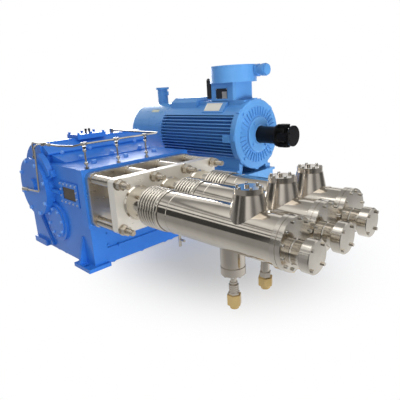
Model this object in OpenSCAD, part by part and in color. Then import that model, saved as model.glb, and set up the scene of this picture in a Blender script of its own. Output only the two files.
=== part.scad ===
// Cryogenic reciprocating pump: power frame, distance piece, three cold ends and drive motor
// X runs from the crankcase towards the cold ends, Y runs along the crankshaft, Z is up

/* [Cylinders] */
// Distance between neighbouring cylinder axes
cylinder_pitch = 250; // [242:1:320]
// Height of the cylinder axes above the floor
axis_height = 455; // [445:1:600]

/* [Power frame] */
// Distance from the outer cylinder axes to the side walls
case_side = 172; // [166:1:230]
// Height of the front ledge above the cylinder axes
ledge_rise = 190; // [180:1:230]
// Length of the flat ledge behind the front face
ledge_length = 342; // [300:1:360]
// Distance from the front face back to the crankshaft
crank_back = 592; // [570:1:700]
// Height of the crankshaft above the cylinder axes
crank_rise = 50; // [30:1:60]
// Radius of the rounded roof around the crankshaft
roof_radius = 275; // [262:1:300]
// Distance from the crankshaft forward to the front wall of the rounded roof
roof_front = 40; // [20:1:60]
// Gap between the crankcase floor and the ground
floor_gap = 10; // [4:1:20]
// Depth of the panel sunk into the front wall
panel_depth = 14; // [5:1:40]
// Width of the wall left at each side of that panel
panel_margin = 102; // [60:1:160]
// Height of the panel
panel_height = 125; // [80:1:150]

/* [Feet] */
// Length of a foot along X
foot_length = 197; // [150:1:240]
// How far the front feet reach beyond the side walls
foot_reach = 60; // [52:1:100]
// How far the rear feet reach beyond the side walls
rear_reach = 22; // [10:1:50]
// How far the front feet stand out in front of the crankcase
foot_forward = 30; // [0:1:60]
// Thickness of a foot
foot_thickness = 25; // [15:1:40]
// Height of the rear feet
rear_height = 45; // [20:1:60]
// Distance of the anchor slots behind the front edge of the feet
slot_back = 85; // [60:1:120]
// Half width of the anchor slot
slot_radius = 13; // [8:1:16]
// Length of the anchor slot, end to end
slot_length = 40; // [30:1:44]
// Height of the gusset above its foot
gusset_height = 175; // [100:1:220]
// Thickness of the gusset
gusset_thickness = 22; // [12:1:40]

/* [Gear case] */
// Radius of the gear case drum on the near side
gear_radius = 207; // [180:1:225]
// Distance of the gear case centre behind the front face
gear_back = 628; // [600:1:640]
// Depth of the gear case drum
gear_depth = 41; // [36:1:60]
// Thickness of the gear cover
gear_cover_thickness = 22; // [15:1:40]
// Radius of the round hub on the gear cover
gear_hub_radius = 42; // [25:1:70]
// How far the hub stands out of the gear cover
gear_hub_proud = 20; // [8:1:22]
// Radius of the flange sector that joins the gear case to the side wall
sector_radius = 264; // [250:1:275]

/* [Side covers] */
// Radius of the round bearing cover low on the near side
bearing_radius = 136; // [110:1:140]
// Thickness of the bearing cover
bearing_thickness = 18; // [10:1:30]
// Width of the window frame
window_width = 236; // [200:1:240]
// Height of the window frame
window_height = 150; // [120:1:170]
// Thickness of the window frame
window_thickness = 10; // [6:1:16]
// Width of the border of the window frame
window_border = 34; // [26:1:44]
// Distance of the window centre behind the front face
window_back = 202; // [200:1:208]

/* [Roof] */
// Length of the raised hatch along X
hatch_length = 165; // [120:1:170]
// Width of the raised hatch along Y
hatch_width = 230; // [160:1:300]
// Height of the hatch above the roof
hatch_rise = 22; // [14:1:40]
// Sideways offset of the hatch from the middle cylinder
hatch_offset = -38; // [-80:1:80]

/* [Distance piece] */
// Clear distance between the two plates
plate_gap = 196; // [160:1:260]
// Thickness of the back plate
back_plate_thickness = 42; // [25:1:60]
// Thickness of the front plate
front_plate_thickness = 60; // [40:1:80]
// Height of the tie bolts above and below the cylinder axes
tie_rise = 133; // [128:1:150]
// Radius of the front plate corners around the tie bolts
lobe_radius = 30; // [28:1:34]
// Radius of the back plate corners around the tie bolts
back_lobe_radius = 38; // [36:1:40]
// Radius of the spacer tubes
spacer_radius = 31; // [26:1:33]
// Radius of the tie bolts
tie_radius = 16; // [12:1:18]
// Width across the flats of the tie bolt nuts
tie_nut_flats = 52; // [46:1:55]
// Thickness of the tie bolt nuts
tie_nut_height = 48; // [24:1:60]
// How far the tie bolts stand out of their nuts
tie_overhang = 56; // [20:1:70]
// Radius of the piston rods
rod_radius = 22; // [15:1:35]
// Radius of the gland around each piston rod
gland_radius = 46; // [38:1:60]

/* [Cold ends] */
// Outer radius of the vacuum jackets
jacket_radius = 109; // [100:1:112]
// Length of a jacket from its collar to its end flange
jacket_length = 705; // [690:1:800]
// Radius of the neck between the front plate and the bellows
neck_radius = 96; // [85:1:98]
// Length of the neck
neck_length = 135; // [110:1:180]
// Number of bellows convolutions
bellows_count = 7; // [4:1:8]
// Length of the bellows
bellows_length = 152; // [140:1:200]
// Outer radius of the bellows convolutions
bellows_radius = 116; // [112:1:119]
// Radius of the rounding on each convolution
bellows_bead = 8.2; // [6.5:0.1:8.4]
// Width of the collar between the bellows and the jacket
collar_width = 16; // [10:1:24]
// Radius of the end flanges
head_radius = 118; // [116:1:120]
// Thickness of each of the two flange rings
ring_thickness = 24; // [16:1:30]
// Radius of the outlet neck
outlet_radius = 53; // [40:1:58]
// Length of the outlet neck
outlet_length = 49; // [30:1:70]
// How far the outlet sits below the cylinder axis
outlet_drop = 33; // [25:1:40]
// Radius of the outlet flange
outlet_flange_radius = 71; // [68:1:76]
// Thickness of the outlet flange
outlet_flange_thickness = 45; // [25:1:55]
// Radius of the circle of the outlet bolts
outlet_bolt_circle = 59; // [57:1:61]

/* [Vents and drains] */
// Distance of the vent cones before the end flanges
vent_before_flange = 187; // [150:1:215]
// Radius of the vent cap
vent_cap_radius = 64; // [50:1:72]
// Height of the seam between cone and cap above the cylinder axis
vent_seam_rise = 178; // [160:1:200]
// Height of the vent cap
vent_cap_height = 26; // [15:1:40]
// Growth of the cone radius from the seam down to the cylinder axis
vent_flare = 41; // [20:1:42]
// Distance of the drain bosses before the end flanges
drain_before_flange = 292; // [270:1:330]
// Radius of the drain boss
drain_radius = 59; // [50:1:70]
// Depth of the drain boss below the cylinder axis
drain_depth = 229; // [220:1:250]
// Radius of the drain tube
drain_tube_radius = 15; // [12:1:16]
// Length of the drain tube below the boss
drain_tube_length = 113; // [60:1:118]
// Distance of the purge fittings before the end flanges
purge_before_flange = 105; // [80:1:130]
// Width across the flats of the brass drain nuts
brass_flats = 62; // [50:1:66]
// Width across the flats of the brass purge nuts
purge_flats = 58; // [46:1:60]
// Radius of the holes in the fittings
port_radius = 11; // [6:1:12]

/* [Oil lines] */
// Radius of the oil tubes
oil_radius = 7; // [4:0.5:8]
// Height of the oil header above the ledge
header_rise = 152; // [150:1:200]
// Distance between the oil drops
drop_spacing = 225; // [200:1:245]

/* [Motor] */
// Distance of the motor axis from the far cylinder axis
motor_beside = 600; // [590:1:800]
// Height of the motor axis above the floor
motor_height = 720; // [700:1:800]
// Distance of the end shield face before the crankcase front face
motor_forward = 332; // [200:1:400]
// Radius of the end shield
shield_radius = 256; // [252:1:264]
// Radius over the cooling fins
fin_radius = 250; // [246:1:254]
// Radius of the motor frame between the fins
frame_radius = 209; // [200:1:222]
// Distance between the cooling fins
fin_spacing = 24.4; // [22:0.2:30]
// Thickness of a cooling fin
fin_thickness = 6; // [5:1:9]
// Length of the finned frame
frame_length = 799; // [760:1:900]
// Length of the fan cowl
cowl_length = 427; // [300:1:480]
// Radius of the fan cowl
cowl_radius = 247; // [240:1:249]
// Radius of the motor bearing cap
cap_radius = 130; // [100:1:135]
// Radius of the round terminal box
box_radius = 177; // [150:1:190]
// Height of the round terminal box
box_height = 120; // [100:1:180]
// Width of the square neck under the terminal box
box_neck = 250; // [200:1:256]
// Height of the motor feet
motor_foot_height = 280; // [276:1:300]

/* [Motor stand] */
// Distance between the two rows of anchor holes
stand_hole_spread = 450; // [430:1:470]
// Radius of the anchor holes
stand_hole_radius = 11; // [8:1:14]

/* [Cardan joint] */
// Radius of the motor shaft
shaft_radius = 37; // [25:1:45]
// Radius of the coupling hub on the shaft
coupling_radius = 61; // [50:1:70]
// Length of the coupling hub
coupling_length = 160; // [100:1:200]
// Outer half width of the yokes
yoke_reach = 80; // [78:1:84]
// Thickness of a yoke ear
ear_thickness = 26; // [22:1:28]
// Radius of the rounded yoke ear
ear_radius = 27; // [24:1:28]
// Radius of the trunnions of the cross
trunnion_radius = 14; // [10:1:16]
// Distance from the cross centre to the base of each yoke
yoke_throat = 49; // [49:1:70]
// Thickness of the base of each yoke
yoke_base = 13; // [12:1:24]
// Radius of the circle of the flange holes
flange_hole_circle = 61; // [58:1:64]

/* [Hidden] */
$fn = 72;

royal = "royalblue";
azure = "steelblue";
steel = "silver";
brass = "goldenrod";
dark = "dimgray";

// Small distance that keeps curved faces of neighbouring pieces apart
seat = 0.2;
// Radial clearance of a turning fit
running = 0.05;
cylinders = [-1, 0, 1];
ties = [-1.5, -0.5, 0.5, 1.5];

// Crankcase, with its front face at x = 0
case_half = cylinder_pitch + case_side;
ledge_z = axis_height + ledge_rise;
crank_z = axis_height + crank_rise;
case_back = -crank_back - roof_radius;
roof_wall = -crank_back + roof_front;
roof_wall_z = crank_z + sqrt(roof_radius * roof_radius - roof_front * roof_front);
cover_inset = 14;
pad_width = 66;
pad_proud = 8;
pad_drop = 175;
panel_top = axis_height - tie_rise - back_lobe_radius - 44;
rear_cover_margin = 60;
rear_cover_thickness = 14;
rear_cover_low = floor_gap + rear_height + 160;

// Gear case and covers on the near side
gear_z = axis_height + 17;
near_wall = -case_half;
gear_face = near_wall - gear_depth;
cover_face = gear_face - gear_cover_thickness;
bearing_back = 430;
bearing_z = axis_height - 215;
window_z = axis_height + 16;
window_pocket = 30;
glass_thickness = 5;
window_left = -window_back - window_width / 2;

// Distance piece and cold ends
back_face = back_plate_thickness;
front_back = back_face + plate_gap;
front_face = front_back + front_plate_thickness;
drain_ahead = 52;
bellows_start = front_face + neck_length;
collar_start = bellows_start + bellows_length;
jacket_start = collar_start + collar_width;
head_start = jacket_start + jacket_length;
ring_groove = 2;
head_face = head_start + 2 * ring_thickness + ring_groove;
outlet_start = head_face + outlet_length;
outlet_face = outlet_start + outlet_flange_thickness;
outlet_bolt_height = 9;
outlet_z = axis_height - outlet_drop;
vent_x = head_start - vent_before_flange;
drain_x = head_start - drain_before_flange;
purge_x = head_start - purge_before_flange;
vent_top = vent_seam_rise + vent_cap_height;
drain_end = axis_height - drain_depth - drain_tube_length;
brass_height = 54;
purge_height = 36;
purge_depth = jacket_radius + 56;

// Oil lines
header_z = ledge_z + header_rise;
drop_x = -11;
header_y = near_wall + 40;
header_far_y = header_y + 562;
side_y = cover_face - 30;
fitting = oil_radius * 2;
block_size = 18;
union_at = [-crank_back + 183, near_wall - 33, header_z - 13];
roof_top = crank_z + roof_radius;

// Motor
motor_y = cylinder_pitch + motor_beside;
shield_face = motor_forward;
shield_thickness = 38;
rib_count = 36;
lug_proud = 8;
rib_thickness = 5;
frame_front = shield_face - shield_thickness;
frame_back = frame_front - frame_length;
cowl_back = frame_back - cowl_length;
cap_face = shield_face + 22;
fin_shift = 3.4;
pad_top = 255;
pad_half = 102;
neck_x = shield_face - 241;
box_x = neck_x + 22;
box_bottom = motor_height + pad_top + 127;
box_top = box_bottom + box_height;
gland_offset = 60;
stand_top = motor_height - motor_foot_height;
stand_back = frame_back + 153;
stand_front = shield_face + 8;
stand_half = stand_hole_spread / 2 + 25;
stand_hole_inset = 46;
hub_start = cap_face + 6;
hub_end = hub_start + coupling_length;
cross_x = hub_end + yoke_base + yoke_throat;
ear_inner = yoke_reach - ear_thickness;
trunnion_end = yoke_reach - 5;
outer_face = cross_x + yoke_throat + yoke_base;
shaft_root = frame_front + 1;

// The middle of the whole set stands on the origin
reach_low = min(case_back, cowl_back);
reach_high = outlet_face + outlet_bolt_height;
side_low = side_y - fitting;
side_high = motor_y + shield_radius + lug_proud;
middle_x = (reach_low + reach_high) / 2;
middle_y = (side_low + side_high) / 2;

// Everything is drawn from the crankcase front face and set on the origin here
module set_down() {
    translate([-middle_x, -middle_y, 0]) children();
}

// Extrudes an outline drawn in X and Z along Y
module along_y(low, high) {
    translate([0, high, 0]) rotate([90, 0, 0]) linear_extrude(high - low) children();
}

// Extrudes an outline drawn in Y and Z along X
module along_x(low, high) {
    translate([low, 0, 0]) rotate([90, 0, 90]) linear_extrude(high - low) children();
}

// Round bar along X
module bar_x(low, high, radius, y, z) {
    translate([low, y, z]) rotate([0, 90, 0]) cylinder(h = high - low, r = radius);
}

// Round bar along Y
module bar_y(low, high, radius, x, z) {
    translate([x, low, z]) rotate([-90, 0, 0]) cylinder(h = high - low, r = radius);
}

// Round bar along Z
module bar_z(low, high, radius, x, y) {
    translate([x, y, low]) cylinder(h = high - low, r = radius);
}

// Six-sided bar along Z, given by its width across the flats
module hex_z(low, high, flats, x, y) {
    translate([x, y, low]) cylinder(h = high - low, d = flats / cos(30), $fn = 6);
}

// Profile turned around a cylinder axis, drawn as X along the axis and Y as radius
module turned_x(y, z) {
    translate([0, y, z]) rotate([0, 90, 0]) rotate_extrude() rotate(90) mirror([0, 1]) children();
}

// Unit vector, and the points of a route whose corners are rounded
function unit(v) = v / norm(v);
function corner(a, b, c, radius, steps = 5) =
    let (u = unit(a - b), w = unit(c - b),
         turn = acos(u * w),
         reach = radius / tan(turn / 2),
         centre = b + unit(u + w) * radius / sin(turn / 2),
         p = b + u * reach - centre,
         q = b + w * reach - centre,
         sweep = 180 - turn)
    [for (k = [0 : steps])
        centre + (p * sin(sweep * (1 - k / steps)) + q * sin(sweep * k / steps)) / sin(sweep)];
function rounded(route, radius) = [
    route[0],
    for (k = [1 : len(route) - 2]) each corner(route[k - 1], route[k], route[k + 1], radius),
    route[len(route) - 1]];
function heading(path, k) =
    unit(path[min(k + 1, len(path) - 1)] - path[max(k - 1, 0)]);
function carried(path, k) = k == 0
    ? unit(cross(heading(path, 0), abs(heading(path, 0)[2]) < 0.9 ? [0, 0, 1] : [1, 0, 0]))
    : let (last = carried(path, k - 1), t = heading(path, k)) unit(last - t * (last * t));

// Bent tube that follows a route of straight stretches with rounded corners
module bent_tube(route, radius, bend, sides = 10) {
    path = rounded(route, bend);
    rings = len(path);
    points = [for (k = [0 : rings - 1])
        let (t = heading(path, k), n = carried(path, k), b = cross(t, n))
        for (s = [0 : sides - 1]) path[k] + radius * (n * cos(360 * s / sides) + b * sin(360 * s / sides))];
    walls = [for (k = [0 : rings - 2]) for (s = [0 : sides - 1]) let (next = (s + 1) % sides)
        [k * sides + s, (k + 1) * sides + s, (k + 1) * sides + next, k * sides + next]];
    first = [for (s = [0 : sides - 1]) s];
    last = [for (s = [sides - 1 : -1 : 0]) (rings - 1) * sides + s];
    polyhedron(points, concat([first], walls, [last]));
}

// Side outline of the crankcase casting
module case_outline() {
    polygon([[0, floor_gap], [0, ledge_z], [roof_wall, ledge_z], [roof_wall, crank_z],
             [case_back, crank_z], [case_back, floor_gap]]);
    intersection() {
        translate([-crank_back, crank_z]) circle(r = roof_radius);
        translate([case_back, crank_z - 1]) square([roof_wall - case_back, roof_radius + 2]);
    }
}

// One foot seen from above, with its slot
module foot(x, side, reach, thickness, slotted) {
    inner = case_half - 98;
    outer = case_half + reach;
    low = side > 0 ? inner : -outer;
    difference() {
        translate([x, low, 0]) cube([foot_length, outer - inner, thickness]);
        if (slotted) {
            slot_y = side * (case_half + slot_length / 2 + 12);
            translate([foot_forward - slot_back, slot_y, -1]) {
                translate([-slot_radius, -slot_length / 2 + slot_radius, 0])
                    cube([2 * slot_radius, slot_length - 2 * slot_radius, foot_thickness + 2]);
                for (end = [-1, 1]) {
                    translate([0, end * (slot_length / 2 - slot_radius), 0])
                        cylinder(h = foot_thickness + 2, r = slot_radius);
                }
            }
        }
    }
}

// Triangular gusset between a front foot and the wall above it
module gusset(side) {
    wall = side * (case_half - 1);
    tip = side * (case_half + foot_reach - 6);
    along_x(foot_forward - foot_length + 45, foot_forward - foot_length + 45 + gusset_thickness)
        polygon([[wall, foot_thickness - 1], [tip, foot_thickness - 1],
                 [side * (case_half + 6), foot_thickness + gusset_height],
                 [wall, foot_thickness + gusset_height]]);
}

module crankcase() {
    color(royal) set_down() {
        difference() {
            along_y(-case_half, case_half) case_outline();
            translate([-panel_depth, panel_margin - case_half, panel_top - panel_height])
                cube([panel_depth + 1, 2 * (case_half - panel_margin), panel_height]);
            for (side = [-1, 1]) {
                translate([-window_back, side * case_half, window_z])
                    cube([window_width - 2 * window_border, 2 * window_pocket,
                          window_height - 2 * window_border], center = true);
            }
        }
        for (side = [-1, 1]) {
            low = side > 0 ? case_half - 1 : -case_half - pad_proud;
            translate([-pad_width, low, axis_height - pad_drop])
                cube([pad_width, pad_proud + 1, ledge_z - axis_height + pad_drop]);
            foot(foot_forward - foot_length, side, foot_reach, foot_thickness, true);
            foot(case_back, side, rear_reach, rear_height, false);
            gusset(side);
        }
        // Curved oil channel beside the bearing cover
        difference() {
            translate([-bearing_back, near_wall + 1, bearing_z]) rotate([90, 0, 0])
                rotate_extrude(angle = 75, start = 160)
                    translate([bearing_radius + 22, 0]) square([14, 13]);
            bar_y(gear_face, near_wall + 2, gear_radius + seat, -gear_back, gear_z);
        }
    }
}

// Sloped cover in two bands: the upper one overhangs the lower one, whose ends are bevelled
module crosshead_cover() {
    rise = roof_wall_z - ledge_z;
    run = -roof_wall - ledge_length;
    half = case_half - cover_inset;
    step_x = -ledge_length - 0.65 * run;
    step_z = ledge_z + 0.41 * rise;
    color(royal) set_down() {
        intersection() {
            along_y(-half, half)
                polygon([[-ledge_length, ledge_z], [roof_wall, ledge_z], [roof_wall, step_z],
                         [step_x, step_z], [-ledge_length - 8, ledge_z + 10], [-ledge_length, ledge_z + 8]]);
            translate([0, 0, ledge_z - 1]) linear_extrude(rise)
                polygon([[1 - ledge_length, 54 - half], [1 - ledge_length, half - 54],
                         [step_x + 20, half - 24], [roof_wall - 1, half - 24],
                         [roof_wall - 1, 24 - half], [step_x + 20, 24 - half]]);
        }
        along_y(-half, half)
            polygon([[roof_wall, ledge_z], [step_x - 14, ledge_z], [step_x - 14, step_z - 10],
                     [step_x + 10, step_z], [step_x + 13, step_z + 9], [step_x + 8, step_z + 16],
                     [roof_wall + 6, ledge_z + 0.9 * rise], [roof_wall, ledge_z + 0.92 * rise]]);
    }
}

module hatch() {
    color(royal) set_down() difference() {
        translate([-crank_back - hatch_length / 2, hatch_offset - hatch_width / 2, roof_top - 40])
            cube([hatch_length, hatch_width, 40 + hatch_rise]);
        bar_y(-case_half, case_half, roof_radius + seat, -crank_back, crank_z);
    }
}

module breathers() {
    top = roof_top + hatch_rise;
    color(dark) set_down() for (side = [-1, 1]) {
        bar_z(top, top + 34, 7, -crank_back + 20, hatch_offset + side * 14);
        bar_z(top + 22, top + 30, 9, -crank_back + 20, hatch_offset + side * 14);
    }
}

// Sector of a ring on the near wall, around the gear case axis
module gear_sector(first, span, outer, depth) {
    inner = gear_radius - 30;
    translate([-gear_back, near_wall, gear_z]) rotate([90, 0, 0])
        rotate_extrude(angle = span, start = first) translate([inner, 0]) square([outer - inner, depth]);
}

// Drum with a raised flange sector above the window, two lugs on its rim and a plug towards the window
module gear_case() {
    color(royal) set_down() {
        bar_y(gear_face, near_wall, gear_radius, -gear_back, gear_z);
        gear_sector(24, 42, sector_radius, gear_depth - 2);
        gear_sector(20, 9, sector_radius + 20, gear_depth - 12);
        gear_sector(2, 14, gear_radius + 6, gear_depth - 6);
        bar_x(-gear_back + gear_radius - 8, window_left - seat, 13, near_wall - 15, gear_z - 4);
    }
}

module gear_cover() {
    color(royal) set_down() {
        bar_y(cover_face, gear_face, gear_radius, -gear_back, gear_z);
        bar_y(cover_face - gear_hub_proud, cover_face + 1, gear_hub_radius, -gear_back + 26, gear_z + 24);
    }
}

module bearing_cover() {
    color(royal) set_down() difference() {
        union() {
            bar_y(near_wall - bearing_thickness, near_wall, bearing_radius, -bearing_back, bearing_z);
            bar_y(near_wall - bearing_thickness - 8, near_wall - bearing_thickness + 1, bearing_radius - 26,
                  -bearing_back, bearing_z);
        }
        bar_y(gear_face, near_wall + 1, gear_radius + seat, -gear_back, gear_z);
    }
}

// Window frame as an outline with the opening cut out, on either side wall
module window_frame() {
    color(royal) set_down() for (side = [-1, 1]) {
        low = side > 0 ? case_half : -case_half - window_thickness;
        difference() {
            translate([-window_back - window_width / 2, low, window_z - window_height / 2])
                cube([window_width, window_thickness, window_height]);
            translate([-window_back - window_width / 2 + window_border, low - 1,
                       window_z - window_height / 2 + window_border])
                cube([window_width - 2 * window_border, window_thickness + 2,
                      window_height - 2 * window_border]);
        }
    }
}

module window_glass() {
    color("sienna") set_down() for (side = [-1, 1]) {
        low = side > 0 ? case_half : -case_half - glass_thickness;
        translate([-window_back - window_width / 2 + window_border + seat, low,
                   window_z - window_height / 2 + window_border + seat])
            cube([window_width - 2 * (window_border + seat), glass_thickness,
                  window_height - 2 * (window_border + seat)]);
    }
}

module far_bearing_cover() {
    color(royal) set_down() {
        bar_y(case_half, case_half + bearing_thickness, bearing_radius, -crank_back, crank_z);
        bar_y(case_half + bearing_thickness - 1, case_half + bearing_thickness + 10, bearing_radius - 26,
              -crank_back, crank_z);
    }
}

module rear_cover() {
    color(royal) set_down() {
        translate([case_back - rear_cover_thickness, -cylinder_pitch - rear_cover_margin, rear_cover_low])
            cube([rear_cover_thickness, 2 * (cylinder_pitch + rear_cover_margin), crank_z - 40 - rear_cover_low]);
    }
}

// Union of the oil lines: a ball on a short six-sided bar along Y
module joint_piece(at, size) {
    translate(at) {
        sphere(d = size * 1.15, $fn = 20);
        rotate([90, 0, 0]) cylinder(h = size * 1.5, d = size, center = true, $fn = 6);
    }
}

module oil_header() {
    second_union = union_at + [82, 0, 0];
    color(steel) set_down() {
        bent_tube([union_at, second_union, [-250, union_at[1] + 28, header_z - 21],
                   [-110, union_at[1] + 53, header_z - 18], [drop_x, header_y, header_z],
                   [drop_x, header_far_y, header_z], [-crank_back, header_far_y, header_z]], oil_radius, 14);
        for (k = [0 : 2]) {
            joint_piece([drop_x, header_y + k * drop_spacing, header_z], fitting + 9);
        }
        translate(union_at) cube([block_size, 2 * block_size, block_size + 4], center = true);
        translate(second_union) rotate([0, 0, 90]) joint_piece([0, 0, 0], fitting + 6);
        bar_z(roof_top, header_z + fitting, fitting, -crank_back, header_far_y);
    }
}

module oil_drops() {
    top = header_z - (fitting + 9) / 2 - 2;
    color(steel) set_down() for (k = [0 : 2]) {
        y = header_y + k * drop_spacing;
        bar_z(ledge_z, top, oil_radius - 1.5, drop_x, y);
        hex_z(ledge_z, ledge_z + 14, 24, drop_x, y);
        translate([drop_x, y, ledge_z + 34]) sphere(r = 13, $fn = 20);
        translate([drop_x, y, top - 26]) sphere(r = 12, $fn = 20);
        hex_z(top - 14, top, 19, drop_x, y);
    }
}

module oil_side_line() {
    low_x = union_at[0] - 46;
    end_x = -gear_back - 96;
    low_z = axis_height + 15;
    end_z = low_z - 14;
    color(steel) set_down() {
        bent_tube([union_at - [0, block_size + seat, 0], [union_at[0], side_y, union_at[2]],
                   [low_x, side_y, low_z], [end_x, side_y, end_z]], oil_radius, 24);
        translate([end_x + 22, side_y, end_z + 1]) rotate([0, 90, 0])
            cylinder(h = 62, d = 3.4 * oil_radius, $fn = 6);
        translate([end_x, side_y, end_z]) sphere(d = 4 * oil_radius, $fn = 20);
        bar_y(side_y, cover_face, oil_radius + 2, end_x, end_z);
    }
}

module oil_case_line() {
    case_x = -crank_back + 3;
    ahead = gear_back + case_x;
    base = gear_z + sqrt(gear_radius * gear_radius - ahead * ahead) + 1;
    color(steel) set_down() {
        bent_tube([union_at - [block_size / 2 + seat, 0, 0], [case_x, union_at[1], union_at[2]],
                   [case_x, union_at[1], base + 4]], oil_radius, 18);
        difference() {
            hex_z(base - 5, base + 18, 24, case_x, union_at[1]);
            bar_y(cover_face - 1, near_wall, gear_radius + seat, -gear_back, gear_z);
        }
    }
}

// Outline of a distance-piece plate seen along X, with corners around the tie bolts
module plate_outline(radius) {
    half_y = 1.5 * cylinder_pitch;
    square([2 * half_y, 2 * (tie_rise + radius)], center = true);
    square([2 * (half_y + radius), 2 * tie_rise], center = true);
    for (y = [-half_y, half_y]) {
        for (z = [-tie_rise, tie_rise]) {
            translate([y, z]) circle(r = radius);
        }
    }
}

module back_plate() {
    color(steel) set_down() {
        along_x(0, back_face) translate([0, axis_height]) plate_outline(back_lobe_radius);
    }
}

module front_plate() {
    color(steel) set_down() {
        along_x(front_back, front_face) translate([0, axis_height]) plate_outline(lobe_radius);
    }
}

module spacers() {
    color(steel) set_down() for (k = ties) {
        for (side = [-1, 1]) {
            bar_x(back_face, front_back, spacer_radius, k * cylinder_pitch, axis_height + side * tie_rise);
            bar_x(back_face, back_face + 10, back_lobe_radius - 1, k * cylinder_pitch,
                  axis_height + side * tie_rise);
        }
    }
}

module tie_bolts() {
    color(steel) set_down() for (k = ties) {
        for (side = [-1, 1]) {
            translate([front_face, k * cylinder_pitch, axis_height + side * tie_rise]) rotate([0, 90, 0]) {
                cylinder(h = 8, r = tie_nut_flats / 2 + 7);
                cylinder(h = tie_nut_height, d = tie_nut_flats / cos(30), $fn = 6);
                cylinder(h = tie_nut_height + tie_overhang - 3, r = tie_radius);
                cylinder(h = tie_nut_height + tie_overhang, r = tie_radius - 3);
            }
        }
    }
}

module piston_rods() {
    color(steel) set_down() for (k = cylinders) {
        bar_x(back_face, front_back, rod_radius, k * cylinder_pitch, axis_height);
        bar_x(back_face, back_face + 34, gland_radius, k * cylinder_pitch, axis_height);
        bar_x(front_back - 26, front_back, gland_radius, k * cylinder_pitch, axis_height);
    }
}

module gland_drain() {
    x = front_face + drain_ahead;
    top = axis_height - neck_radius;
    valve_z = axis_height - 300;
    color(steel) set_down() {
        bar_z(valve_z - 45, top - seat, 10, x, 0);
        hex_z(top - 40, top - 14, 34, x, 0);
        bar_x(x, x + 44, 8, 0, valve_z);
    }
}

// Neck, bellows and collar between the front plate and one jacket
module bellows(k) {
    step = bellows_length / bellows_count;
    root = bellows_radius - 2.1 * bellows_bead;
    color(steel) set_down() {
        turned_x(k * cylinder_pitch, axis_height)
            polygon([[front_face, 0], [front_face, neck_radius + 7], [front_face + 4, neck_radius + 7],
                     [front_face + 13, neck_radius], [bellows_start, neck_radius],
                     [bellows_start, root], [collar_start, root],
                     [collar_start, jacket_radius + 5], [jacket_start - 2, jacket_radius + 5],
                     [jacket_start, jacket_radius + 3], [jacket_start, 0]]);
        for (n = [0 : bellows_count - 1]) {
            turned_x(k * cylinder_pitch, axis_height)
                translate([bellows_start + (n + 0.5) * step, bellows_radius - bellows_bead]) {
                    circle(r = bellows_bead, $fn = 24);
                    translate([-0.6 * bellows_bead, -2 * bellows_bead])
                        square([1.2 * bellows_bead, 2 * bellows_bead]);
                }
        }
    }
}

// One vacuum jacket with its weld bead and its flush plug
module jacket(k) {
    color(steel) set_down() {
        turned_x(k * cylinder_pitch, axis_height)
            polygon([[jacket_start, 0], [jacket_start, jacket_radius], [jacket_start + 64, jacket_radius],
                     [jacket_start + 66, jacket_radius + 1.6], [jacket_start + 69, jacket_radius + 1.6],
                     [jacket_start + 71, jacket_radius], [head_start, jacket_radius], [head_start, 0]]);
        bar_z(axis_height + jacket_radius - 8, axis_height + jacket_radius + 2, 15,
              vent_x + 104, k * cylinder_pitch);
    }
}

// One vent cone with its cap and lifting knob, shaped to the jacket below it
module vent_cone(k) {
    y = k * cylinder_pitch;
    seam_z = axis_height + vent_seam_rise;
    color(steel) set_down() {
        difference() {
            translate([vent_x, y, axis_height])
                cylinder(h = vent_seam_rise, r1 = vent_cap_radius + vent_flare, r2 = vent_cap_radius + 2);
            bar_x(vent_x - 200, vent_x + 200, jacket_radius + seat, y, axis_height);
        }
        bar_z(seam_z - 1, seam_z + 3, vent_cap_radius - 2, vent_x, y);
        bar_z(seam_z + 2, axis_height + vent_top, vent_cap_radius, vent_x, y);
        bar_z(axis_height + vent_top - 1, axis_height + vent_top + 10, 10, vent_x - 8, y);
    }
}

// One drain boss under a jacket, with its tube, and the purge fitting beside it
module drain_boss(k) {
    y = k * cylinder_pitch;
    boss_end = axis_height - drain_depth;
    color(steel) set_down() {
        difference() {
            bar_z(boss_end + 42, axis_height, drain_radius, drain_x, y);
            bar_x(drain_x - 200, drain_x + 200, jacket_radius + seat, y, axis_height);
        }
        bar_z(boss_end + 37, boss_end + 43, drain_radius - 4, drain_x, y);
        bar_z(boss_end, boss_end + 38, drain_radius + 1, drain_x, y);
        bar_z(drain_end, boss_end + 1, drain_tube_radius, drain_x, y);
        bar_z(drain_end + 60, drain_end + 66, drain_tube_radius + 4, drain_x, y);
        for (ring = [0 : 3]) {
            bar_z(drain_end + 12 + 11 * ring, drain_end + 20 + 11 * ring, drain_tube_radius + 9, drain_x, y);
        }
        bar_z(drain_end + 12, drain_end + 53, drain_tube_radius + 7, drain_x, y);
        hex_z(drain_end, drain_end + 13, 50, drain_x, y);
        difference() {
            bar_z(axis_height - purge_depth, axis_height, 19, purge_x, y);
            bar_x(purge_x - 60, purge_x + 60, jacket_radius + seat, y, axis_height);
        }
        hex_z(axis_height - purge_depth - 26, axis_height - purge_depth, 45, purge_x, y);
    }
}

module head(k) {
    color(steel) set_down()
        turned_x(k * cylinder_pitch, axis_height)
            polygon([[head_start, 0], [head_start, head_radius - 1.5], [head_start + 1.5, head_radius],
                     [head_start + ring_thickness, head_radius],
                     [head_start + ring_thickness, head_radius - 4],
                     [head_start + ring_thickness + ring_groove, head_radius - 4],
                     [head_start + ring_thickness + ring_groove, head_radius],
                     [head_face - 2, head_radius], [head_face, head_radius - 2], [head_face, 0]]);
}

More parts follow.
